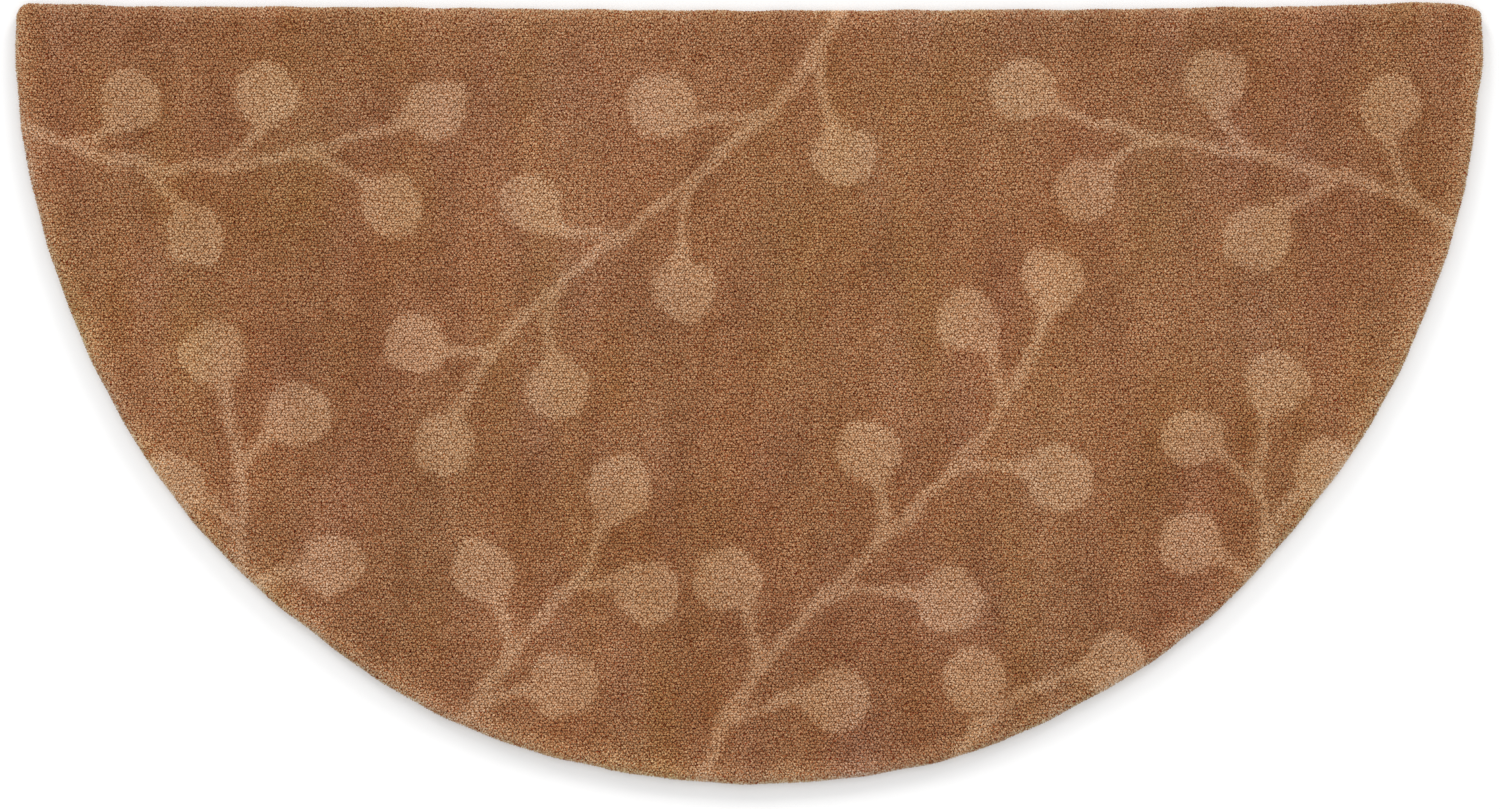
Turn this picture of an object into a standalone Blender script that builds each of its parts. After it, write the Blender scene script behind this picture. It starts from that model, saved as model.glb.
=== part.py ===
"""Half-moon hearth rug: a short cut wool pile on a woven backing, as one flat piece.

Units are metres and +Z is up. +X runs along the straight edge, which lies towards +Y, on the hearth's side.
The origin is on the floor, under the middle of the rug's box.
"""

import math

import bmesh
import bpy

# The whole rug as it lies
WIDTH = 1.270
DEPTH = 0.670
THICKNESS = 0.0125

# The outline: an arc a little over half a circle, closed by the straight edge
ARC_RADIUS = WIDTH / 2
EDGE_TO_ARC_CENTRE = DEPTH - ARC_RADIUS
EDGE_SAG = 0.0065

# The corners are quarter ellipses: reach along the straight edge, and down the side
LEFT_CORNER = {"side": -1, "along": 0.013, "down": 0.014}
RIGHT_CORNER = {"side": 1, "along": 0.030, "down": 0.011}

# Where the arc runs flatter than its circle: direction and half reach in degrees, depth in metres
FLAT_STRETCHES = [
    {"direction": 214, "reach": 36, "depth": 0.0050},
    {"direction": 328, "reach": 36, "depth": 0.0075},
]

# Where the hand-cut edge swells or draws in: place along it from the right corner, anticlockwise,
# half reach and height, in metres
EDGE_SWELLS = [
    {"at": 0.040, "reach": 0.060, "height": 0.0014},
    {"at": 0.300, "reach": 0.080, "height": -0.0006},
    {"at": 0.880, "reach": 0.260, "height": 0.0011},
    {"at": 1.120, "reach": 0.090, "height": -0.0008},
    {"at": 1.470, "reach": 0.170, "height": -0.0017},
    {"at": 1.710, "reach": 0.100, "height": 0.0008},
    {"at": 1.870, "reach": 0.080, "height": -0.0018},
    {"at": 2.020, "reach": 0.120, "height": 0.0009},
    {"at": 2.300, "reach": 0.110, "height": 0.0012},
    {"at": 2.450, "reach": 0.140, "height": 0.0034},
    {"at": 2.680, "reach": 0.160, "height": 0.0032},
    {"at": 2.930, "reach": 0.150, "height": 0.0018},
    {"at": 3.120, "reach": 0.120, "height": 0.0014},
    {"at": 3.258, "reach": 0.050, "height": 0.0024},
]

# Smaller waves run all round it: number, height in metres, phase in degrees
EDGE_WAVES = [
    {"waves": 37, "height": 0.00025, "phase": 20},
    {"waves": 61, "height": 0.00030, "phase": 250},
]

# The rim, seen in section: the backing's edge is drawn in under the pile, and the pile rounds over
BACKING_HEIGHT = 0.0018
BACKING_INSET = 0.0026
PILE_FOOT_HEIGHT = 0.0034
PILE_FOOT_INSET = 0.0006
SHOULDER_WIDTH = 0.0095
SHOULDER_HEIGHT = 0.0062
SHOULDER_STEPS = 5

# Spacing of the outline's points
EDGE_STEP = 0.014
CORNER_STEPS = 5

PILE_COLOUR = (0.29, 0.13, 0.06, 1.0)
PILE_ROUGHNESS = 0.95

# Edges that turn by more than this stay sharp, such as the backing's
SHARP_TURN = math.radians(40)


def clear_scene():
    """Remove the start-up objects."""
    for thing in list(bpy.data.objects):
        bpy.data.objects.remove(thing, do_unlink=True)


def straight_edge_y(x):
    """Height of the straight edge above the arc's centre, drawn in at its middle."""
    return EDGE_TO_ARC_CENTRE + EDGE_SAG * (x / ARC_RADIUS) ** 2


def corner_centre(row):
    """Centre of a corner's ellipse, and where the arc meets it, as a direction seen from the arc's centre."""
    y = straight_edge_y(ARC_RADIUS - row["along"]) - row["down"]
    x = math.sqrt(ARC_RADIUS ** 2 - y ** 2)
    return row["side"] * (x - row["along"]), y, math.atan2(y, x)


def corner_points(row, start, end):
    """Points of a corner from one direction up to, but without, another, both in radians."""
    centre_x, centre_y, _ = corner_centre(row)
    return [
        (centre_x + row["along"] * math.cos(turn), centre_y + row["down"] * math.sin(turn))
        for turn in stretch(start, end, CORNER_STEPS)
    ]


def stretch(start, end, steps):
    """Evenly spaced values from start up to, but without, end."""
    return [start + (end - start) * step / steps for step in range(steps)]


def flattening(direction):
    """How far the arc lies inside its circle in one direction, given in radians."""
    depth = 0.0
    for row in FLAT_STRETCHES:
        off = abs(math.degrees(direction) - row["direction"]) / row["reach"]
        if off < 1:
            depth += row["depth"] * (1 - off * off) ** 1.5
    return depth


def plain_outline():
    """The outline anticlockwise from above, centred on the arc, before its swells and waves."""
    left_x, _, left_turn = corner_centre(LEFT_CORNER)
    right_x, _, right_turn = corner_centre(RIGHT_CORNER)
    edge_steps = round((right_x - left_x) / EDGE_STEP)
    points = [(x, straight_edge_y(x)) for x in stretch(right_x, left_x, edge_steps)]
    points += corner_points(LEFT_CORNER, math.pi / 2, math.pi)
    arc_start = math.pi - left_turn
    arc_end = 2 * math.pi + right_turn
    arc_steps = round((arc_end - arc_start) * ARC_RADIUS / EDGE_STEP)
    for turn in stretch(arc_start, arc_end, arc_steps):
        radius = ARC_RADIUS - flattening(turn)
        points.append((radius * math.cos(turn), radius * math.sin(turn)))
    return points + corner_points(RIGHT_CORNER, 0.0, math.pi / 2)


def outward_normals(points):
    """Unit normals of a closed anticlockwise outline, pointing out of it."""
    normals = []
    for index in range(len(points)):
        before = points[index - 1]
        after = points[(index + 1) % len(points)]
        along_x = after[0] - before[0]
        along_y = after[1] - before[1]
        length = math.hypot(along_x, along_y)
        normals.append((along_y / length, -along_x / length))
    return normals


def moved_out(points, distances):
    """The outline with each point moved along its own normal by its own distance."""
    normals = outward_normals(points)
    return [
        (x + out * normal_x, y + out * normal_y)
        for (x, y), (normal_x, normal_y), out in zip(points, normals, distances)
    ]


def swell(row, run, whole):
    """Height of one swell at a place along the outline, whose two ends meet."""
    gap = abs(run - row["at"])
    off = min(gap, whole - gap) / row["reach"]
    return row["height"] * (1 - off * off) ** 2 if off < 1 else 0.0


def wave(row, run, whole):
    """Height of one of the waves that run all round the outline."""
    return row["height"] * math.sin(2 * math.pi * row["waves"] * run / whole + math.radians(row["phase"]))


def edge_wander(points):
    """How far the edge lies outside the plain outline at each of its points."""
    travelled = [0.0]
    for before, after in zip(points, points[1:]):
        travelled.append(travelled[-1] + math.dist(before, after))
    whole = travelled[-1] + math.dist(points[-1], points[0])
    return [
        sum(swell(row, run, whole) for row in EDGE_SWELLS) + sum(wave(row, run, whole) for row in EDGE_WAVES)
        for run in travelled
    ]


def centred(points):
    """The outline moved so that its box is centred, and widened to the exact width."""
    low_x, high_x = min(x for x, _ in points), max(x for x, _ in points)
    low_y, high_y = min(y for _, y in points), max(y for _, y in points)
    scale = WIDTH / (high_x - low_x)
    middle_x, middle_y = (low_x + high_x) / 2, (low_y + high_y) / 2
    return [((x - middle_x) * scale, (y - middle_y) * scale) for x, y in points]


def rug_outline():
    """The finished outline of the pile's widest part."""
    plain = plain_outline()
    return centred(moved_out(plain, edge_wander(plain)))


def rim_levels():
    """Inset and height of each level of the rim, from the floor up to the flat of the pile."""
    levels = [
        (BACKING_INSET, 0.0),
        (BACKING_INSET, BACKING_HEIGHT),
        (PILE_FOOT_INSET, PILE_FOOT_HEIGHT),
    ]
    for step in range(SHOULDER_STEPS + 1):
        turn = math.pi / 2 * step / SHOULDER_STEPS
        inset = SHOULDER_WIDTH * (1 - math.cos(turn))
        levels.append((inset, THICKNESS - SHOULDER_HEIGHT * (1 - math.sin(turn))))
    return levels


def add_ring(bm, outline, inset, height):
    """One closed loop of edges, the outline drawn in by an inset at a height."""
    places = moved_out(outline, [-inset] * len(outline))
    verts = [bm.verts.new((x, y, height)) for x, y in places]
    return [bm.edges.new((verts[index - 1], verts[index])) for index in range(len(verts))]


def pile_material():
    """Matt tan wool."""
    material = bpy.data.materials.new("wool_pile")
    material.use_nodes = True
    shader = material.node_tree.nodes["Principled BSDF"]
    shader.inputs["Base Color"].default_value = PILE_COLOUR
    shader.inputs["Roughness"].default_value = PILE_ROUGHNESS
    shader.inputs["Metallic"].default_value = 0.0
    return material


def make_rug():
    """The rug: rings of the outline bridged from the floor to the pile's top, closed by flat faces."""
    outline = rug_outline()
    bm = bmesh.new()
    rings = [add_ring(bm, outline, inset, height) for inset, height in rim_levels()]
    for lower, upper in zip(rings, rings[1:]):
        bmesh.ops.bridge_loops(bm, edges=lower + upper)
    bmesh.ops.contextual_create(bm, geom=rings[0])
    bmesh.ops.contextual_create(bm, geom=rings[-1])
    bmesh.ops.recalc_face_normals(bm, faces=bm.faces)
    mesh = bpy.data.meshes.new("rug")
    bm.to_mesh(mesh)
    bm.free()
    mesh.shade_smooth()
    mesh.set_sharp_from_angle(angle=SHARP_TURN)
    mesh.materials.append(pile_material())
    rug = bpy.data.objects.new("rug", mesh)
    bpy.context.scene.collection.objects.link(rug)
    return rug


clear_scene()
make_rug()
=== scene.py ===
# %% [markdown]
# # A half-moon hearth rug
#
# The rug is one flat thing: short wool yarn, cut level, standing in a woven ground that lies on the floor.
# Seen from straight above it is a tan field with paler sprays of berries, and all that catches the eye is
# pile: the grain of the yarn ends, the soft edges of the pattern, the rounded rim with painted light and
# shade.
# So the lesson makes the pile as real yarn ends, about 150,000 of them, and not as a picture on a slab.
#
# The imported solid is the frame. It gives the outline, the height and the rounding of the rim.

# %% Load the frame
import math

import bmesh
import bpy
import numpy as np
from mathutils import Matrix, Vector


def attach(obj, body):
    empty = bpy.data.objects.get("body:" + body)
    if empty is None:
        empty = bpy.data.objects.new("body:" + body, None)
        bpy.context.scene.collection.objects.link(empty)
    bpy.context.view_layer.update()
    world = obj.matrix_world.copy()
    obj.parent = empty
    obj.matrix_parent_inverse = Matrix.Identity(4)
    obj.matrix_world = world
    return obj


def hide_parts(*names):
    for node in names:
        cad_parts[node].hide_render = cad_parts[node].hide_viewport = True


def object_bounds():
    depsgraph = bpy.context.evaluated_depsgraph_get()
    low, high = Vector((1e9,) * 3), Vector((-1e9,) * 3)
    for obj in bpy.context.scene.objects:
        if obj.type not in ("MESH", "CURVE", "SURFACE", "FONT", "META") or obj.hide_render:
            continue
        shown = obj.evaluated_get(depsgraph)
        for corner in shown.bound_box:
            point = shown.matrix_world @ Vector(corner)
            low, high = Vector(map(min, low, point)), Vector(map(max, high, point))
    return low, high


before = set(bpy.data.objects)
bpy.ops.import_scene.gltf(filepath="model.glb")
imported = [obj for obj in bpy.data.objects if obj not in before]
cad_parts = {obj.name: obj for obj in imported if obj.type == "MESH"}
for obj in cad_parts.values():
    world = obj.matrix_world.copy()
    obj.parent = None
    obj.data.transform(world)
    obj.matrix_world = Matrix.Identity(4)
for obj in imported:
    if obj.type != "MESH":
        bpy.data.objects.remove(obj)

cad_low, cad_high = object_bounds()
rug_size = cad_high - cad_low
print("the rug measures", [round(1000 * side, 1) for side in rug_size], "mm")

# %% [markdown]
# ## The rim, read from the solid
#
# The solid is a stack of closed loops. Each loop is one height of the rim, from the floor up to the flat of
# the pile, and the widest loop is the outline that is seen from above. The points of a loop are up to 14 mm
# apart, which is coarse for yarn that is 2 mm thick, so a smooth curve is drawn through them first.

# %% Outline and heights of the rim
EDGE_STEPS = 4
SAME_HEIGHT = 1e-4
BATCH = 4000

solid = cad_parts["rug"]
solid_points = np.unique(np.array([point.co for point in solid.data.vertices]).round(6), axis=0)
solid_heights = np.unique(solid_points[:, 2].round(4))


def loop_at(height):
    """The solid's loop of points at one height, anticlockwise from above."""
    ring = solid_points[np.abs(solid_points[:, 2] - height) < SAME_HEIGHT][:, :2]
    return ring[np.argsort(np.arctan2(ring[:, 1], ring[:, 0]))]


def smoothed(loop, steps):
    """A closed loop with points added between its own, on a smooth curve through them."""
    before = np.roll(loop, 1, axis=0)
    after = np.roll(loop, -1, axis=0)
    beyond = np.roll(loop, -2, axis=0)
    rows = []
    for share in np.arange(steps) / steps:
        even = 2 * loop + (after - before) * share
        bent = (2 * before - 5 * loop + 4 * after - beyond) * share ** 2
        turned = (3 * loop - before - 3 * after + beyond) * share ** 3
        rows.append((even + bent + turned) / 2)
    return np.stack(rows, axis=1).reshape(-1, 2)


def outward(loop):
    """Unit normals of a closed anticlockwise loop, pointing out of it."""
    along = np.roll(loop, -1, axis=0) - np.roll(loop, 1, axis=0)
    normals = np.column_stack([along[:, 1], -along[:, 0]])
    return normals / np.linalg.norm(normals, axis=1, keepdims=True)


widest_height = max(solid_heights, key=lambda height: np.ptp(loop_at(height)[:, 0]))
edge = smoothed(loop_at(widest_height), EDGE_STEPS)
edge_out = outward(edge)


def nearest_edge(places):
    """The way out of the rug at the point of its edge nearest to each place, and the depth inside it."""
    nearest = np.empty(len(places), int)
    for start in range(0, len(places), BATCH):
        gaps = places[start:start + BATCH, None] - edge[None]
        nearest[start:start + BATCH] = (gaps ** 2).sum(axis=2).argmin(axis=1)
    out = edge_out[nearest]
    return out, ((edge[nearest] - places) * out).sum(axis=1)


edge_length = np.linalg.norm(np.roll(edge, -1, axis=0) - edge, axis=1).sum()
print("edge of", len(edge), "points,", round(edge_length, 3), "m round, widest at", widest_height, "m,")

# %% [markdown]
# ## The rim as a strip that can be rolled out
#
# Yarn ends that are set out evenly on a flat plan would stand too thinly down the rounded rim. Instead the
# surface is thought of as rolled out flat, like paper: past the border of the flat top, a place on the plan
# is carried down the rounding by as much as it lies outside that border. The same plan later serves as the
# unwrapped map of the pile.

# %% Profile of the rim, from the flat of the pile down to its foot
PILE_FOOT = 0.003

profile = []
for height in solid_heights[::-1]:
    if height >= PILE_FOOT:
        profile.append((nearest_edge(loop_at(height))[1].mean(), height))
profile_inset, profile_height = np.array(profile).T
profile_steps = np.hypot(np.diff(profile_inset), np.diff(profile_height))
profile_run = np.concatenate([[0.0], np.cumsum(profile_steps)])
profile_tilt = np.arctan2(-np.diff(profile_height), -np.diff(profile_inset))
profile_middle = (profile_run[1:] + profile_run[:-1]) / 2
flat_inset = profile_inset[0]


def on_rug(plan):
    """Where the plan's places lie on the rug: point, way out, tilt of the surface, depth inside."""
    out, inside = nearest_edge(plan)
    run = np.maximum(flat_inset - inside, 0.0)
    inset = np.where(run > 0, np.interp(run, profile_run, profile_inset), inside)
    height = np.interp(run, profile_run, profile_height)
    tilt = np.interp(run, np.append(0.0, profile_middle), np.append(0.0, profile_tilt))
    flat = plan + out * (inside - inset)[:, None]
    return np.column_stack([flat, height]), out, tilt, inset


print("the rim rolls out to", round(1000 * profile_run[-1], 1), "mm beyond the flat of the pile")

# %% [markdown]
# ## The sprays
#
# The pattern is an ordinary one for rugs, berries on bent stalks, two tones of the same wool. It is drawn
# here from a short table of stems, each with the twigs that leave it. A stem is a curve between two ends
# that bows to its left or right. A twig leaves at a place along it and turns away, and every stem and twig
# ends in a berry, towards which it swells.
#
# A drawn line is then a row of discs that overlap. To ask how deep a tuft lies in the pattern, all discs
# give their answer at once and a soft maximum is taken, which also fills the forks between twig and stem
# in the rounded way of dyed or inlaid yarn.

# %% Table of stems and twigs
BERRY_RADIUS = 0.0273
BERRY_SPREAD = 0.0014
DISC_STEP = 0.004
FORK_SOFTNESS = 0.0025
NO_PULL = 1e-12
STEM_RADIUS = (0.0030, 0.0022)
STEM_SWELL = {"length": 0.050, "radius": 0.009}
TWIG_RADIUS = (0.0020, 0.0017)
TWIG_SWELL = {"share": 0.65, "radius": 0.010}
TWIG_LEAVES_AT = 28
LEFT, RIGHT = 1, -1
BERRY_SEED = 3

# Twigs: share of the stem's length, side, length in metres, further turn in degrees
STEMS = [
    {"start": (0.085, 0.350), "end": (-0.265, -0.045), "bow": (0.10, -0.10), "twigs": [
        (0.10, LEFT, 0.100, 30), (0.24, RIGHT, 0.095, 40), (0.40, LEFT, 0.100, 35),
        (0.55, RIGHT, 0.085, 55), (0.68, LEFT, 0.090, 40), (0.82, RIGHT, 0.075, 45)]},
    {"start": (-0.650, 0.245), "end": (-0.270, 0.245), "bow": (-0.16, -0.10), "twigs": [
        (0.16, LEFT, 0.070, 50), (0.33, RIGHT, 0.080, 30), (0.52, LEFT, 0.075, 50),
        (0.70, RIGHT, 0.090, 30)]},
    {"start": (-0.045, -0.350), "end": (0.262, 0.098), "bow": (0.10, -0.12), "twigs": [
        (0.12, RIGHT, 0.105, 45), (0.22, LEFT, 0.090, 45), (0.38, RIGHT, 0.110, 35),
        (0.50, LEFT, 0.085, 50), (0.66, RIGHT, 0.095, 45), (0.79, LEFT, 0.085, 50)]},
    {"start": (0.650, 0.110), "end": (0.235, 0.262), "bow": (-0.12, 0.04), "twigs": [
        (0.20, RIGHT, 0.090, 40), (0.34, LEFT, 0.100, 40), (0.54, RIGHT, 0.075, 50),
        (0.72, LEFT, 0.080, 40)]},
    {"start": (-0.480, -0.240), "end": (-0.462, 0.035), "bow": (-0.16, -0.08), "twigs": [
        (0.22, RIGHT, 0.100, 40), (0.42, LEFT, 0.080, 50), (0.62, RIGHT, 0.075, 40)]},
    {"start": (0.440, -0.270), "end": (0.455, 0.010), "bow": (-0.10, 0.10), "twigs": [
        (0.30, LEFT, 0.095, 40), (0.52, RIGHT, 0.080, 40), (0.66, LEFT, 0.078, 35)]},
    {"start": (-0.265, -0.330), "end": (-0.112, -0.082), "bow": (0.08, -0.08), "twigs": [
        (0.22, RIGHT, 0.085, 30), (0.40, LEFT, 0.085, 50), (0.66, RIGHT, 0.075, 45)]},
    {"start": (0.165, -0.345), "end": (0.315, -0.235), "bow": (0.16, 0.14), "twigs": [
        (0.30, LEFT, 0.050, 20)]},
]


def stem_line(stem):
    """Points along a stem, a curve that bows away from the straight line between its ends."""
    start, end = np.array(stem["start"]), np.array(stem["end"])
    way = end - start
    left = np.array([-way[1], way[0]])
    first = start + way / 3 + left * stem["bow"][0] * 4 / 3
    second = end - way / 3 + left * stem["bow"][1] * 4 / 3
    share = np.linspace(0, 1, int(np.linalg.norm(way) / DISC_STEP) + 1)[:, None]
    rest = 1 - share
    near = start * rest ** 3 + 3 * first * share * rest ** 2
    return near + 3 * second * share ** 2 * rest + end * share ** 3


def twig_line(start, heading, side, length, turn):
    """Points along a twig that leaves a stem's heading and goes on turning to its own side."""
    share = np.arange(1, int(length / DISC_STEP) + 1) / int(length / DISC_STEP)
    angle = heading + np.radians(side * (TWIG_LEAVES_AT + turn * share))
    steps = np.column_stack([np.cos(angle), np.sin(angle)]) * length / len(share)
    return start + np.cumsum(steps, axis=0)


def sprays():
    """All discs of the pattern, as x, y and radius. Berries differ a little in size."""
    sizes = np.random.default_rng(BERRY_SEED)
    discs = []
    berries = []
    for stem in STEMS:
        line = stem_line(stem)
        share = np.linspace(0, 1, len(line))
        to_berry = (1 - share) * math.dist(stem["start"], stem["end"])
        radius = np.interp(share, [0, 1], STEM_RADIUS)
        radius += STEM_SWELL["radius"] * np.clip(1 - to_berry / STEM_SWELL["length"], 0, 1) ** 2
        discs.append(np.column_stack([line, radius]))
        berries.append(line[-1])
        for place, side, length, turn in stem["twigs"]:
            fork = int(place * (len(line) - 1))
            along = line[fork + 1] - line[fork - 1]
            twig = twig_line(line[fork], math.atan2(along[1], along[0]), side, length, turn)
            share = np.linspace(0, 1, len(twig))
            radius = np.interp(share, [0, 1], TWIG_RADIUS)
            swell = np.clip(1 - (1 - share) / TWIG_SWELL["share"], 0, 1)
            discs.append(np.column_stack([twig, radius + TWIG_SWELL["radius"] * swell ** 2]))
            berries.append(twig[-1])
    radii = BERRY_RADIUS + sizes.uniform(-BERRY_SPREAD, BERRY_SPREAD, len(berries))
    discs.append(np.column_stack([berries, radii]))
    print(len(berries), "berries on", len(STEMS), "stems")
    return np.concatenate(discs)


spray_discs = sprays()


def depth_in_spray(places):
    """How deep each place lies inside the pattern, in metres. Outside it the depth is negative."""
    depth = np.empty(len(places))
    for start in range(0, len(places), BATCH):
        gaps = np.linalg.norm(places[start:start + BATCH, None] - spray_discs[None, :, :2], axis=2)
        pull = np.exp((spray_discs[None, :, 2] - gaps) / FORK_SOFTNESS).sum(axis=1)
        depth[start:start + BATCH] = FORK_SOFTNESS * np.log(pull + NO_PULL)
    return depth


# %% [markdown]
# ## Colour of the yarn
#
# Wool is dyed in lots and walked on, so no two tufts are quite alike. Each tuft takes the tan of the field
# or the paler tan of the sprays, mixed over 6 mm at a spray's edge. Pile parts and leans, so the drawn
# lines and berries are bent a little by two chance fields, and no berry comes out quite round. Then come
# clouds across the rug. Some are light and dark, partly uneven dye and partly painted light and shade of
# pile that lies different ways; others turn the tan towards pink or green. Most are longer from front to
# back than from side to side, as wear and the loom leave them, and all are fainter in the sprays, whose
# wool is more even.
#
# Shade is not plain darkness here: light that has passed between fibres comes back redder. So a level below
# one acts most on blue and least on red. For the same reason the rim, where the yarn leans out and is lit
# from all sides, takes a painted light, a level above one, and comes out paler and greyer. It does so more
# along the arc than along the straight edge, and more in the field than where a spray meets the rim. The
# outermost fibres take a painted shade: greyer still, darker along the straight edge and lighter towards
# the bottom of the arc.

# %% Tones of the pile
FIELD_TONE = np.array([0.472, 0.229, 0.084])
SPRAY_TONE = np.array([0.643, 0.379, 0.171])
SPRAY_EDGE = 0.006
SPRAY_EDGE_CHANCE = 0.0012
SPRAY_WARP = 0.0014
SPRAY_WARP_WAVELENGTH = 0.045
SPRAY_WARP_SEEDS = (31, 32)
SPRAY_GRAIN = 0.64
LIGHTER = (0.68, 1.0, 1.45)
BLUER = (-0.23, -0.21, 1.0)
GREENER = (-0.6, 1.0, 0.0)
# The LIGHTER clouds are partly uneven dye and partly painted light and shade of pile lying different ways.
CLOUDS = [
    {"towards": LIGHTER, "share": 0.040, "wavelength": 0.450, "stretch": 1.0, "seed": 774},
    {"towards": LIGHTER, "share": 0.046, "wavelength": 0.150, "stretch": 0.6, "seed": 12},
    {"towards": LIGHTER, "share": 0.050, "wavelength": 0.045, "stretch": 0.4, "seed": 13},
    {"towards": LIGHTER, "share": 0.040, "wavelength": 0.020, "stretch": 0.8, "seed": 14},
    {"towards": BLUER, "share": 0.026, "wavelength": 0.300, "stretch": 0.8, "seed": 1883},
    {"towards": BLUER, "share": 0.031, "wavelength": 0.060, "stretch": 0.4, "seed": 15},
    {"towards": GREENER, "share": 0.010, "wavelength": 0.120, "stretch": 0.4, "seed": 16}]
# Painted light on the rim: paler and greyer, less along the straight edge and in the sprays.
RIM_LIGHT = 0.28
RIM_LIGHT_SHIFT = -0.15
RIM_LIGHT_IN_SPRAYS = 0.35
RIM_WIDTH = 0.018
# Painted shade at the outermost edge: greyer, darker along the straight edge, lighter towards the arc's
# bottom.
EDGE_SHADE_TINT = np.array([-0.17, 0.06, 0.26])
EDGE_SHADE_SHIFT = -0.19
EDGE_SHADE_WIDTH = 0.0032
SHADE_POWERS = np.array([0.65, 1.0, 1.6])
LIGHT_POWERS = np.array([0.65, 1.0, 1.3])
FIELD_WAVES = 14
WAVELENGTH_SHARES = (0.7, 1.7)


def soft_field(places, wavelength, seed):
    """A smooth chance field with a spread of 1, made of waves that run in many directions."""
    waves = np.random.default_rng(seed)
    total = np.zeros(len(places))
    for _ in range(FIELD_WAVES):
        direction, phase = waves.uniform(0, 2 * math.pi, 2)
        length = wavelength * waves.uniform(*WAVELENGTH_SHARES)
        along = places @ np.array([math.cos(direction), math.sin(direction)])
        total += np.cos(2 * math.pi * along / length + phase)
    return total / math.sqrt(FIELD_WAVES / 2)


def clouds(places):
    """What all clouds do to each channel. The smaller a stretch, the longer the cloud front to back."""
    levels = np.ones((len(places), 3))
    for row in CLOUDS:
        wave = soft_field(places * [1, row["stretch"]], row["wavelength"], row["seed"])
        levels += row["share"] * wave[:, None] * np.array(row["towards"])
    return levels


def shaded(colour, level, powers=SHADE_POWERS):
    """A colour at a level of light, which acts most on blue and least on red."""
    return colour * np.power(level, powers)


def yarn_tone(places, way_out, inset, chance):
    """Colour of the yarn at each place in linear light, with painted light and shade at the rim, and how
    strongly its grain shows.
    """
    warp = [soft_field(places, SPRAY_WARP_WAVELENGTH, seed) for seed in SPRAY_WARP_SEEDS]
    depth = depth_in_spray(places + SPRAY_WARP * np.column_stack(warp))
    depth += chance.normal(0, SPRAY_EDGE_CHANCE, len(places))
    share = np.clip(0.5 + depth / SPRAY_EDGE, 0, 1)
    share = (share * share * (3 - 2 * share))[:, None]
    colour = FIELD_TONE + (SPRAY_TONE - FIELD_TONE) * share
    unrest = 1 - (1 - SPRAY_GRAIN) * share
    colour = colour * (1 + unrest * (clouds(places) - 1))
    # Painted light on the rim, and painted shade at its outermost edge.
    rim = np.exp(-(inset / RIM_WIDTH) ** 4)[:, None]
    edge_shade = np.exp(-np.maximum(inset, 0) / EDGE_SHADE_WIDTH)[:, None]
    light = RIM_LIGHT * rim + way_out[:, 1:] * (RIM_LIGHT_SHIFT * rim + EDGE_SHADE_SHIFT * edge_shade)
    level = 1 + light * (1 - (1 - RIM_LIGHT_IN_SPRAYS) * share)
    return shaded(colour * (1 + EDGE_SHADE_TINT * edge_shade * unrest), level, LIGHT_POWERS), unrest


sample_places = np.array([(0.0, 0.0), STEMS[0]["end"]])
sample, grain = yarn_tone(sample_places, *nearest_edge(sample_places), np.random.default_rng(1))
print("field and berry in linear light:", sample.round(3).tolist())
print("their grain:", grain.ravel().round(2).tolist())

# %% [markdown]
# ## One tuft
#
# A cut tuft is a short twist of yarn: narrow at the root, where the ground grips it, opened out near the
# top by the shears and by brushing. With 150,000 of them each may have only a few faces, so it is a
# three-sided bud: a cone whose base is drawn down to a point. Six triangles, closed, shaded smooth.

# %% Model the tuft by hand
TUFT_PITCH = 0.0023
TUFT_RADIUS = 0.90 * TUFT_PITCH
TUFT_POINT = 0.0018
TUFT_LENGTH = 0.0060
TUFT_SIDES = 3
ON_AXIS = 1e-5


def pick_points(piece, test):
    """In edit mode, select the points that pass a test, and nothing else."""
    bpy.ops.mesh.select_mode(type="VERT")
    bpy.ops.mesh.select_all(action="DESELECT")
    for point in bmesh.from_edit_mesh(piece.data).verts:
        point.select_set(test(point.co))
    bmesh.update_edit_mesh(piece.data)


def model_tuft():
    """One tuft standing under the origin, its tip there."""
    bpy.ops.object.select_all(action="DESELECT")
    bpy.ops.mesh.primitive_cone_add(
        vertices=TUFT_SIDES, radius1=TUFT_RADIUS, radius2=0, depth=TUFT_POINT, end_fill_type="TRIFAN",
        location=(0, 0, -TUFT_POINT / 2))
    tuft = bpy.context.object
    bpy.ops.object.transform_apply(location=True, rotation=True, scale=True)
    bpy.ops.object.mode_set(mode="EDIT")
    pick_points(tuft, lambda place: place.xy.length < ON_AXIS and place.z < -TUFT_POINT / 2)
    bpy.ops.transform.translate(value=(0, 0, TUFT_POINT - TUFT_LENGTH))
    bpy.ops.object.mode_set(mode="OBJECT")
    return tuft


tuft = model_tuft()
tuft_points = np.array([point.co for point in tuft.data.vertices])
tuft_faces = np.array([face.vertices[:] for face in tuft.data.polygons])
faces_under_first = np.argsort(tuft_points[tuft_faces][:, :, 2].mean(axis=1))
tuft_faces = tuft_faces[faces_under_first]
bpy.data.objects.remove(tuft, do_unlink=True)
print("a tuft has", len(tuft_points), "points and", len(tuft_faces), "triangles, from",
      round(1000 * tuft_points[:, 2].min(), 1), "mm to its tip")

# %% [markdown]
# ## Where the tufts stand, and how they lean
#
# Tufts stand in close rows, each a little off its place. Pile never stands quite straight: it keeps a nap
# that wanders over the rug, every tuft has its own lean, and near the rim the yarn has nothing to lean on
# and falls outwards. The lean is what gives the grain its short streaks. The shears cut no two tips at
# quite the same height either. At the rim the tips keep closer to the solid, so that the outline is clean.

# %% Set out the tufts
PLACE_CHANCE = 0.20
TIP_CHANCE = 0.0007
TIP_CHANCE_AT_RIM = 0.0002
TIP_CHANCE_REACH = 0.008
NAP_LEAN = 0.16
NAP_WAVELENGTH = 0.10
NAP_SEEDS = (21, 22)
OWN_LEAN = 0.10
RIM_LEAN = 0.50
RIM_LEAN_REACH = 0.022
RIM_FOLLOW = 0.85
PILE_SEED = 7


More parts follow.
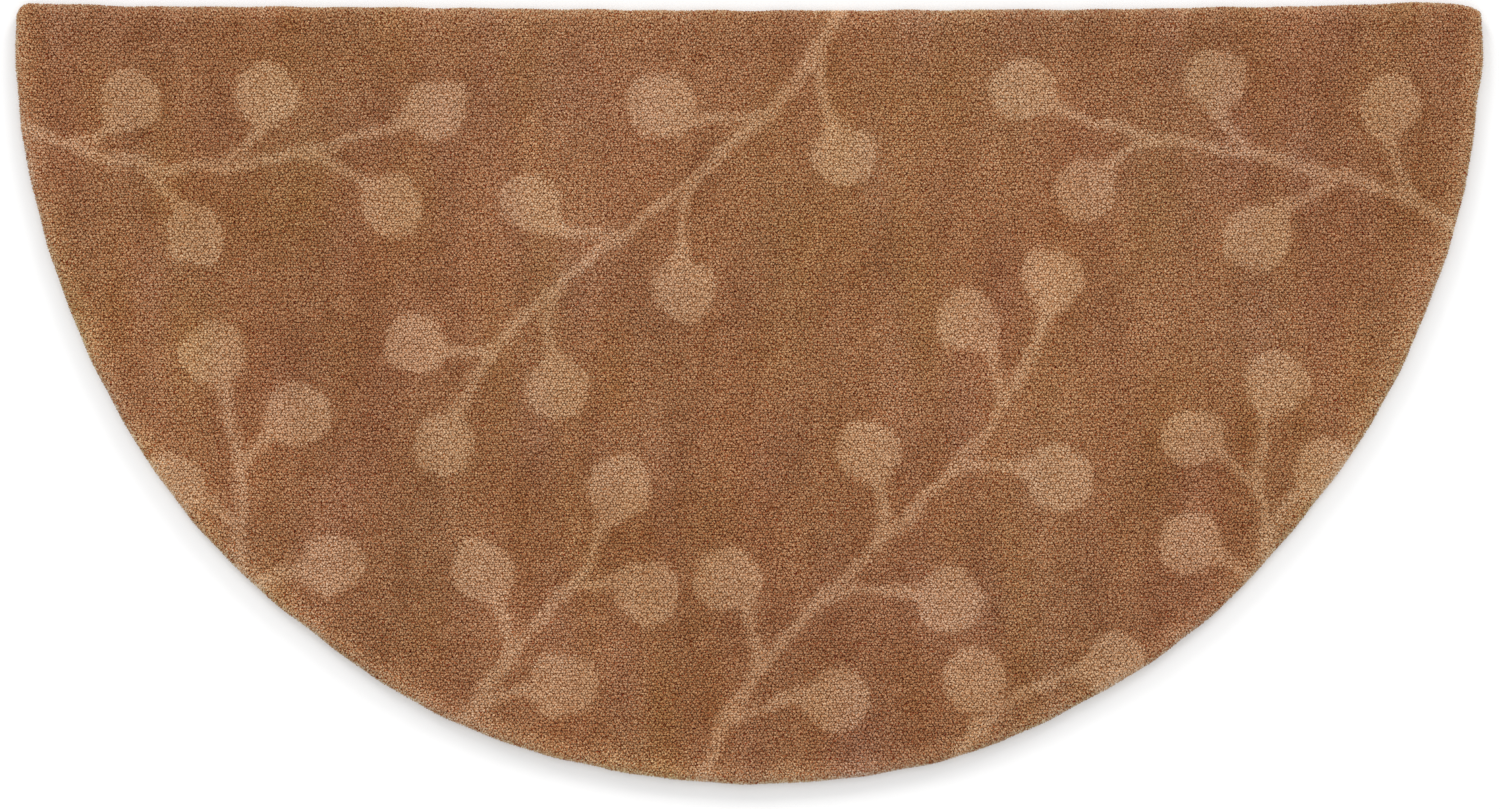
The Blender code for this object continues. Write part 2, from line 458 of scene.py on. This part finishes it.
def set_out():
    """Places of all tufts on the rolled-out plan: staggered rows, each tuft a little off its place."""
    row_step = TUFT_PITCH * math.sqrt(3) / 2
    reach = profile_run[-1]
    rows = np.arange(-rug_size.y / 2 - reach, rug_size.y / 2 + reach, row_step)
    columns = np.arange(-rug_size.x / 2 - reach, rug_size.x / 2 + reach, TUFT_PITCH)
    across, up = np.meshgrid(columns, rows)
    across = across + (np.arange(len(rows)) % 2)[:, None] * TUFT_PITCH / 2
    plan = np.column_stack([across.ravel(), up.ravel()])
    plan += chance.uniform(-PLACE_CHANCE, PLACE_CHANCE, plan.shape) * TUFT_PITCH
    inside = nearest_edge(plan)[1]
    return plan[inside > flat_inset - profile_run[-1]]


chance = np.random.default_rng(PILE_SEED)
plan = set_out()
places, way_out, tilt, inset = on_rug(plan)
count = len(plan)
print(count, "tufts,", count * len(tuft_faces), "triangles")

# %% Turn each tuft's own axes to its lean
upright = np.zeros((count, 3))
upright[:, 2] = 1
out = np.column_stack([way_out, np.zeros(count)])
along = np.cross(upright, out)
surface = out * np.sin(tilt)[:, None] + upright * np.cos(tilt)[:, None]
down_slope = out * np.cos(tilt)[:, None] - upright * np.sin(tilt)[:, None]

follow = RIM_FOLLOW * tilt
axis = out * np.sin(follow)[:, None] + upright * np.cos(follow)[:, None]
fall = RIM_LEAN * np.exp(-np.maximum(inset, 0) / RIM_LEAN_REACH) * np.cos(tilt)
axis += out * fall[:, None]
for direction, seed in enumerate(NAP_SEEDS):
    axis[:, direction] += NAP_LEAN * soft_field(plan, NAP_WAVELENGTH, seed)
axis += chance.normal(0, OWN_LEAN, (count, 3)) * [1, 1, 0]
axis /= np.linalg.norm(axis, axis=1, keepdims=True)
side = along - axis * (along * axis).sum(axis=1, keepdims=True)
side /= np.linalg.norm(side, axis=1, keepdims=True)
third = np.cross(axis, side)

tip_chance = np.interp(inset, [0, TIP_CHANCE_REACH], [TIP_CHANCE_AT_RIM, TIP_CHANCE])
tips = places - surface * np.abs(chance.normal(0, tip_chance))[:, None]
print("mean lean", round(math.degrees(np.arccos(axis[:, 2]).mean()), 1), "degrees")

# %% Copy the tuft to every place
WIDTH_CHANCE = 0.15

spin = chance.uniform(0, 2 * math.pi, count)
width = chance.uniform(1 - WIDTH_CHANCE, 1 + WIDTH_CHANCE, count)
turn_cos = np.cos(spin)[:, None]
turn_sin = np.sin(spin)[:, None]
tuft_x, tuft_y, tuft_z = tuft_points.T
turned_x = (turn_cos * tuft_x - turn_sin * tuft_y) * width[:, None]
turned_y = (turn_sin * tuft_x + turn_cos * tuft_y) * width[:, None]
pile_points = (
    tips[:, None] + side[:, None] * turned_x[:, :, None] + third[:, None] * turned_y[:, :, None]
    + axis[:, None] * tuft_z[None, :, None])

from_tip = pile_points - tips[:, None]
along_rim = (from_tip * along[:, None]).sum(axis=2)
down_rim = (from_tip * down_slope[:, None]).sum(axis=2)
pile_map = (plan[:, None]
            + along_rim[:, :, None] * along[:, None, :2]
            + down_rim[:, :, None] * way_out[:, None])
print("pile reaches from", pile_points.reshape(-1, 3).min(axis=0).round(4), "to",
      pile_points.reshape(-1, 3).max(axis=0).round(4))

# %% Colour every tuft, with painted shade from tip to root
# Painted shade: each tuft darkens from its tip down to its root, as deep in the pile.
TIP_LEVEL = 1.0
OPEN_SHADE_LEVEL = 0.74
ROOT_SHADE_LEVEL = 0.42

yarn, grain = yarn_tone(tips[:, :2], way_out, inset, chance)
point_shade_level = np.interp(
    tuft_z, [-TUFT_LENGTH, -TUFT_POINT, 0], [ROOT_SHADE_LEVEL, OPEN_SHADE_LEVEL, TIP_LEVEL])
pile_colours = shaded(yarn[:, None], point_shade_level[None, :, None])
pile_grain = np.repeat(grain[:, None], len(tuft_points), axis=1)
pile_colours = np.concatenate([pile_colours, pile_grain], axis=2)
mean_tip = pile_colours[:, tuft_z.argmax(), :3].mean(axis=0)
print("mean colour of the tips in linear light", mean_tip.round(3))

# %% [markdown]
# ## Shader maths as Python
#
# A finish is a small graph of nodes. Writing `wool * (1 - shade)` is easier to read than four lines that
# add and link nodes, so one class wraps a socket and lets Python's operators add the Math nodes. Any other
# node comes from its method `node`, which sets the node's settings first and then its sockets.

# %% Class for shader maths
class Reading:
    """A socket of a finish. Operators on it add Math nodes."""

    def __init__(self, tree, socket=None):
        self.tree = tree
        self.socket = socket

    def node(self, kind, settings=None, sockets=None, output=0):
        """Add a node, set its settings, then its sockets' values or links, and return one output."""
        added = self.tree.nodes.new(kind)
        for name, value in (settings or {}).items():
            setattr(added, name, value)
        for name, value in (sockets or {}).items():
            if isinstance(value, Reading):
                self.tree.links.new(value.socket, added.inputs[name])
            else:
                added.inputs[name].default_value = value
        return Reading(self.tree, added.outputs[output])

    def maths(self, operation, first, second=0.0):
        """Add a Math node that works on one or two readings or numbers."""
        return self.node("ShaderNodeMath", {"operation": operation}, {0: first, 1: second})

    def __add__(self, other):
        return self.maths("ADD", self, other)

    def __radd__(self, other):
        return self.maths("ADD", other, self)

    def __sub__(self, other):
        return self.maths("SUBTRACT", self, other)

    def __rsub__(self, other):
        return self.maths("SUBTRACT", other, self)

    def __mul__(self, other):
        return self.maths("MULTIPLY", self, other)

    def __rmul__(self, other):
        return self.maths("MULTIPLY", other, self)

    def feeds(self, shader, name):
        """Link this reading to a socket of the shader."""
        self.tree.links.new(self.socket, shader.inputs[name])


def finish(name, constants):
    """A new material, its shader with constant values, and a reading to start its graph from."""
    material = bpy.data.materials.new(name)
    material.use_nodes = True
    shader = material.node_tree.nodes["Principled BSDF"]
    for socket, value in constants.items():
        shader.inputs[socket].default_value = value
    return material, shader, Reading(material.node_tree)


def other_output(reading, name):
    """Another output of the node that a reading comes from."""
    return Reading(reading.tree, reading.socket.node.outputs[name])


# %% [markdown]
# ## Wool
#
# The colour of each tuft is already on its points. What is left to the finish is the grain. A smooth noise
# about as wide as a tuft sets light yarn ends beside dark ones. Cells about a millimetre across draw the
# plies of an end, with painted shade in the gaps between them. Finer still are single fibres, a noise that
# is distorted so that its light and dark curl as cut wool does. All three run along the yarn, so they are
# drawn out along the height.
#
# Ends, gaps and fibres add up to one level, partly the yarn's own uneven tone and partly painted light and
# shade. It runs from a painted shade that is nearly red to a painted highlight that is nearly grey, as
# shade and light do in wool, and it is weaker by a third in the sprays. The fibres also raise a fine bump,
# and a little sheen stands for the fuzz on them.

# %% Finish of the wool pile
END_SCALE = 600
END_LEVELS = 1.4
PLY_SCALE = 1000
PLY_GAP_SHADE = 1.2
PLY_MEAN_GAP = 0.45
FIBRE_SCALE = 2000
FIBRE_LEVELS = 1.2
FIBRE_CURL = {"Detail": 2.0, "Roughness": 0.7, "Distortion": 0.6}
MIDDLE = 0.5
ALONG_YARN = 0.3
GRAIN_DARK_AND_SHADE = (0.58, 0.28, 0.00, 1.0)
GRAIN_LIGHT_AND_HIGHLIGHT = (1.32, 1.72, 2.65, 1.0)
FIBRE_BUMP = 0.0006
PILE_BUMP_STRENGTH = 0.8
ROOT_BUMP_STRENGTH = 0.6
WOOL_ROUGHNESS = 0.94
FIBRE_SMOOTHER = 0.12
WOOL_SHEEN = {"Sheen Weight": 0.08, "Sheen Roughness": 0.5, "Specular IOR Level": 0.2}


def wool_finish(name, bump_strength):
    """Cut wool: yarn colour from the points, its ends, plies and fibres as grain, with painted shade and
    highlight.
    """
    material, shader, start = finish(name, WOOL_SHEEN)
    place = start.node("ShaderNodeTexCoord", output="Object")
    drawn_out = start.node("ShaderNodeMapping", sockets={"Vector": place, "Scale": (1, 1, ALONG_YARN)})
    fibre = start.node("ShaderNodeTexNoise", sockets={
        "Vector": drawn_out, "Scale": FIBRE_SCALE, **FIBRE_CURL})
    end = start.node("ShaderNodeTexNoise", sockets={
        "Vector": drawn_out, "Scale": END_SCALE, "Detail": 0.0})
    gap = start.node("ShaderNodeTexVoronoi", sockets={"Vector": drawn_out, "Scale": PLY_SCALE})
    ends_and_fibres = END_LEVELS * (end - MIDDLE) + FIBRE_LEVELS * (fibre - MIDDLE)
    # Darker towards the borders of the ply cells: painted shade in the gaps between plies.
    grain = ends_and_fibres - PLY_GAP_SHADE * (gap - PLY_MEAN_GAP)
    yarn_on_points = start.node("ShaderNodeAttribute", {"attribute_name": "yarn"})
    # The grain mixes the yarn's own uneven tone with painted shade, nearly red, and painted highlight,
    # nearly grey.
    light = start.node("ShaderNodeMix", {"data_type": "RGBA", "clamp_factor": False}, {
        "Factor": MIDDLE + other_output(yarn_on_points, "Alpha") * grain,
        "A": GRAIN_DARK_AND_SHADE, "B": GRAIN_LIGHT_AND_HIGHLIGHT}, output=2)
    colour = start.node("ShaderNodeVectorMath", {"operation": "MULTIPLY"}, {
        0: yarn_on_points, 1: light})
    colour.feeds(shader, "Base Color")
    (WOOL_ROUGHNESS - FIBRE_SMOOTHER * fibre).feeds(shader, "Roughness")
    bump = start.node("ShaderNodeBump", sockets={
        "Height": fibre, "Strength": bump_strength, "Distance": FIBRE_BUMP})
    bump.feeds(shader, "Normal")
    return material


wool = wool_finish("wool_pile", PILE_BUMP_STRENGTH)
print("wool finish has", len(wool.node_tree.nodes), "nodes")

# %% [markdown]
# ## The pile, in eight sections
#
# All tufts in one mesh would pass 200,000 triangles, so the pile is parted into eight sections, each with
# about as many tufts as the others. The joints don't show, because every tuft is whole and stands in one
# section. In each, the lower tufts come first and the upper ones last, which keeps the upper ones on top
# in the unwrapped map.

# %% Build the sections
SECTION_COLUMNS = 4
SECTION_ROWS = 2


def joined_tufts(name, chosen):
    """One mesh of the chosen tufts, with their colours and their place on the rolled-out plan."""
    per_tuft = len(tuft_points)
    total = len(chosen)
    first_point = np.arange(total) * per_tuft
    triangles = (tuft_faces[:, None] + first_point[None, :, None]).reshape(-1, 3)
    mesh = bpy.data.meshes.new(name)
    mesh.vertices.add(total * per_tuft)
    mesh.vertices.foreach_set("co", pile_points[chosen].ravel())
    mesh.loops.add(triangles.size)
    mesh.loops.foreach_set("vertex_index", triangles.ravel())
    mesh.polygons.add(len(triangles))
    mesh.polygons.foreach_set("loop_start", np.arange(0, triangles.size, 3))
    mesh.update(calc_edges=True)
    mesh.shade_smooth()
    colour = mesh.attributes.new("yarn", "FLOAT_COLOR", "POINT")
    colour.data.foreach_set("color", pile_colours[chosen].ravel())
    spots = pile_map[chosen].reshape(-1, 2)
    low = spots.min(axis=0)
    spots = (spots - low) / np.ptp(spots, axis=0).max()
    unwrapped = mesh.uv_layers.new(name="OFBake")
    unwrapped.data.foreach_set("uv", spots[triangles.ravel()].ravel())
    mesh.materials.append(wool)
    section = bpy.data.objects.new(name, mesh)
    bpy.context.scene.collection.objects.link(section)
    return section


sections = []
for column in np.array_split(np.argsort(plan[:, 0]), SECTION_COLUMNS):
    upwards = column[np.argsort(plan[column, 1])]
    for row in np.array_split(upwards, SECTION_ROWS):
        by_height = row[np.argsort(tips[row, 2])]
        sections.append(joined_tufts(f"pile_{len(sections) + 1}", by_height))
print(len(sections), "sections of", len(sections[0].data.polygons), "triangles")

# %% [markdown]
# ## The ground
#
# Under the tips lies what holds the yarn: the woven ground on the floor, with the roots of the pile
# standing in it as a dense mass. It is one closed sheet. It starts as a circle whose points are drawn out
# to the rug's outline, is extruded up, and is then inset level by level so that it rounds over a little
# inside the tips. Its top is closed by rings that shrink to the middle like a web, so that its points lie
# close enough to carry the colour of the field and of the sprays, darkened by painted shade as at a root.

# %% Model the ground
GROUND_BELOW_TIPS = 0.0028
GROUND_INSET = 0.0026
WEAVE_THICKNESS = 0.0018
GROUND_SHOULDER_FROM = 0.0052
SHOULDER_STEPS = 5
WEB_RINGS = 44


def pick_faces(piece, test):
    """In edit mode, select the faces whose middle and normal pass a test, and nothing else."""
    bpy.ops.mesh.select_mode(type="FACE")
    bpy.ops.mesh.select_all(action="DESELECT")
    for face in bmesh.from_edit_mesh(piece.data).faces:
        face.select_set(test(face.calc_center_median(), face.normal))
    bmesh.update_edit_mesh(piece.data)


def model_ground():
    """The woven ground and the roots of the pile as one closed sheet."""
    outline = loop_at(widest_height)
    outline = outline - outward(outline) * GROUND_INSET
    top = cad_high.z - GROUND_BELOW_TIPS
    bpy.ops.object.select_all(action="DESELECT")
    bpy.ops.mesh.primitive_circle_add(vertices=len(outline), radius=rug_size.x / 2, fill_type="NGON")
    ground = bpy.context.object
    ground.name = "rug_ground"
    for point, place in zip(ground.data.vertices, outline):
        point.co = (place[0], place[1], 0)
    bpy.ops.object.mode_set(mode="EDIT")
    bpy.ops.mesh.select_all(action="SELECT")
    for lift in (WEAVE_THICKNESS, GROUND_SHOULDER_FROM - WEAVE_THICKNESS):
        bpy.ops.mesh.extrude_region_move(TRANSFORM_OT_translate={"value": (0, 0, lift)})
    turns = np.linspace(0, math.pi / 2, SHOULDER_STEPS + 1)
    insets = np.diff((flat_inset - GROUND_INSET) * (1 - np.cos(turns)))
    rises = np.diff((top - GROUND_SHOULDER_FROM) * np.sin(turns))
    for thickness, rise in zip(insets, rises):
        bpy.ops.mesh.inset(thickness=thickness, depth=rise)
    for ring in range(WEB_RINGS - 1, 0, -1):
        shrink = ring / (ring + 1)
        bpy.ops.mesh.extrude_region_move()
        bpy.ops.transform.resize(value=(shrink, shrink, 1), center_override=(0, 0, top))
    bpy.ops.mesh.poke()
    bpy.ops.mesh.select_all(action="SELECT")
    bpy.ops.mesh.normals_make_consistent(inside=False)
    bpy.ops.object.mode_set(mode="OBJECT")
    return ground


ground = model_ground()
ground.data.validate()
print("ground has", len(ground.data.vertices), "points and", len(ground.data.polygons), "faces")

# %% [markdown]
# ## Colours under the pile, and the back
#
# The ground's points take the same yarn colours as the tufts above them, darkened by the painted shade of a
# root. The back is a plain undyed weave, which shows only when the rug is lifted: warp and weft pass over
# each other in turn, and a thread's rounded back is a sine wave across it, with painted shade where it
# dips. Hairs and thicker places in the thread make it uneven.

# %% Finishes of the ground
WEAVE_PITCH = 0.0026
CROSSING_SHARPNESS = 1.6
THREAD_DARK = (0.23, 0.16, 0.09, 1.0)
THREAD_LIGHT = (0.50, 0.38, 0.24, 1.0)
HAIR_SCALE = 900
SLUB_SCALE = 45
THREAD_SHARES = {"height": 0.55, "hair": 0.35, "slub": 0.35, "start": -0.2}
THREAD_ROUGHNESS = 0.95
HAIR_SMOOTHER = 0.1
HAIR_RISE = 0.25
THREAD_BUMP = 0.0006
THREAD_BUMP_STRENGTH = 0.8
SHARP_ANGLE = math.radians(40)
ROOT_SEED = 5


def paint_shaded_roots(piece):
    """Put the yarn's colour on the points of a piece, darkened by painted shade as at a tuft's root."""
    spots = np.array([point.co for point in piece.data.vertices])
    root_chance = np.random.default_rng(ROOT_SEED)
    yarn, grain = yarn_tone(spots[:, :2], *nearest_edge(spots[:, :2]), root_chance)
    colour = piece.data.attributes.new("yarn", "FLOAT_COLOR", "POINT")
    colour.data.foreach_set("color", np.hstack([shaded(yarn, ROOT_SHADE_LEVEL), grain]).ravel())


def backing_finish():
    """Plain undyed weave: threads over and under each other, with painted shade where they dip, hairs and
    thick places.
    """
    material, shader, start = finish("woven_backing", {"Specular IOR Level": 0.25})
    place = start.node("ShaderNodeTexCoord", output="Object")
    across = start.node("ShaderNodeSeparateXYZ", sockets={"Vector": place})
    wave_x = start.maths("SINE", across * (math.pi / WEAVE_PITCH))
    wave_y = start.maths("SINE", other_output(across, "Y") * (math.pi / WEAVE_PITCH))
    over = start.node("ShaderNodeMath", {"operation": "MULTIPLY_ADD", "use_clamp": True}, {
        0: wave_x * wave_y, 1: CROSSING_SHARPNESS, 2: MIDDLE})
    warp = start.maths("ABSOLUTE", wave_x)
    weft = start.maths("ABSOLUTE", wave_y)
    height = warp * over + weft * (1 - over)
    hair = start.node("ShaderNodeTexNoise", sockets={
        "Vector": place, "Scale": HAIR_SCALE, "Detail": 3.0})
    slub = start.node("ShaderNodeTexNoise", sockets={
        "Vector": place, "Scale": SLUB_SCALE, "Detail": 2.0})
    uneven = THREAD_SHARES["hair"] * hair + THREAD_SHARES["slub"] * slub
    # Colour follows the threads' height, darker where they dip: painted shade. Hairs and slubs add real
    # unevenness.
    share = THREAD_SHARES["height"] * height + uneven + THREAD_SHARES["start"]
    colour = start.node("ShaderNodeMix", {"data_type": "RGBA"}, {
        "Factor": share, "A": THREAD_DARK, "B": THREAD_LIGHT}, output=2)
    colour.feeds(shader, "Base Color")
    (THREAD_ROUGHNESS - HAIR_SMOOTHER * hair).feeds(shader, "Roughness")
    bump = start.node("ShaderNodeBump", sockets={
        "Height": height + HAIR_RISE * hair, "Strength": THREAD_BUMP_STRENGTH, "Distance": THREAD_BUMP})
    bump.feeds(shader, "Normal")
    return material


paint_shaded_roots(ground)
ground.data.materials.append(wool_finish("wool_roots", ROOT_BUMP_STRENGTH))
ground.data.materials.append(backing_finish())
bpy.context.view_layer.objects.active = ground
bpy.ops.object.mode_set(mode="EDIT")
pick_faces(ground, lambda middle, normal: middle.z < WEAVE_THICKNESS)
ground.active_material_index = 1
bpy.ops.object.material_slot_assign()
bpy.ops.object.mode_set(mode="OBJECT")
ground.data.shade_smooth()
ground.data.set_sharp_from_angle(angle=SHARP_ANGLE)
woven_faces = sum(face.material_index for face in ground.data.polygons)
print(woven_faces, "faces of weave,", len(ground.data.polygons) - woven_faces, "faces of roots")

# %% [markdown]
# ## Every piece on its body
#
# The rug is one body. The ground stands for the imported solid and is the sheet of cloth: 1.27 by 0.67 m,
# cut to the half-moon. The pile goes with it.

# %% Every piece on the rug's body, and the solid hidden
for section in sections:
    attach(section, "root")
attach(ground, "root")
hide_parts("rug")

# %% [markdown]
# ## Floor, light and camera
#
# The photograph is taken from straight above, on a white floor that is lit past white. A bright sky lights
# all of it, and two broad, low lamps stand beyond the straight edge, one to the left and one to the right.
# So the rug's only shadow is a soft grey one, widest under the arc and narrower along its sides.

# %% Floor
FLOOR_SIDE = 14.0
FLOOR_WHITE = (0.78, 0.78, 0.78, 1.0)

bpy.ops.object.select_all(action="DESELECT")
bpy.ops.mesh.primitive_plane_add(size=FLOOR_SIDE, location=(0, 0, 0))
floor = bpy.context.object
floor.name = "floor"
floor_material = finish("floor_paper", {
    "Base Color": FLOOR_WHITE, "Roughness": 0.9, "Specular IOR Level": 0.1})[0]
floor.data.materials.append(floor_material)
print("floor of", FLOOR_SIDE, "m")

# %% Light
SKY_STRENGTH = 1.09
LAMP_STRENGTH = 1.39
LAMP_SOFTNESS = math.radians(17)
LAMP_TILT = math.radians(69.5)
LAMP_TURNS = (math.radians(-33), math.radians(33))

world = bpy.data.worlds.new("studio")
bpy.context.scene.world = world
world.use_nodes = True
sky = world.node_tree.nodes["Background"]
sky.inputs["Color"].default_value = (1.0, 1.0, 1.0, 1.0)
sky.inputs["Strength"].default_value = SKY_STRENGTH
for turn in LAMP_TURNS:
    lamp_data = bpy.data.lights.new("broad_lamp", "SUN")
    lamp_data.energy = LAMP_STRENGTH
    lamp_data.angle = LAMP_SOFTNESS
    lamp = bpy.data.objects.new("broad_lamp", lamp_data)
    lamp.rotation_euler = (-LAMP_TILT, 0, turn)
    bpy.context.scene.collection.objects.link(lamp)
bpy.context.scene.view_settings.view_transform = "Standard"
print(len(LAMP_TURNS), "lamps lean", round(math.degrees(LAMP_TILT)), "degrees over the straight edge")

# %% Camera
PHOTO_WIDTH = 1500
PHOTO_HEIGHT = 809
RUG_LEFT_PX, RUG_RIGHT_PX = 14.4, 1483.9
RUG_MIDDLE_Y_PX = 393.4
LENS = 85.0
SENSOR = 36.0

metres_per_px = rug_size.x / (RUG_RIGHT_PX - RUG_LEFT_PX)
view_width = PHOTO_WIDTH * metres_per_px
camera_data = bpy.data.cameras.new("camera")
camera_data.lens = LENS
camera_data.sensor_width = SENSOR
camera = bpy.data.objects.new("camera", camera_data)
camera.location = (
    (PHOTO_WIDTH / 2 - (RUG_LEFT_PX + RUG_RIGHT_PX) / 2) * metres_per_px,
    (RUG_MIDDLE_Y_PX - PHOTO_HEIGHT / 2) * metres_per_px,
    widest_height + view_width * LENS / SENSOR)
bpy.context.scene.collection.objects.link(camera)
bpy.context.scene.camera = camera
print("camera", round(camera.location.z, 3), "m above the floor sees", round(view_width, 4), "m across")
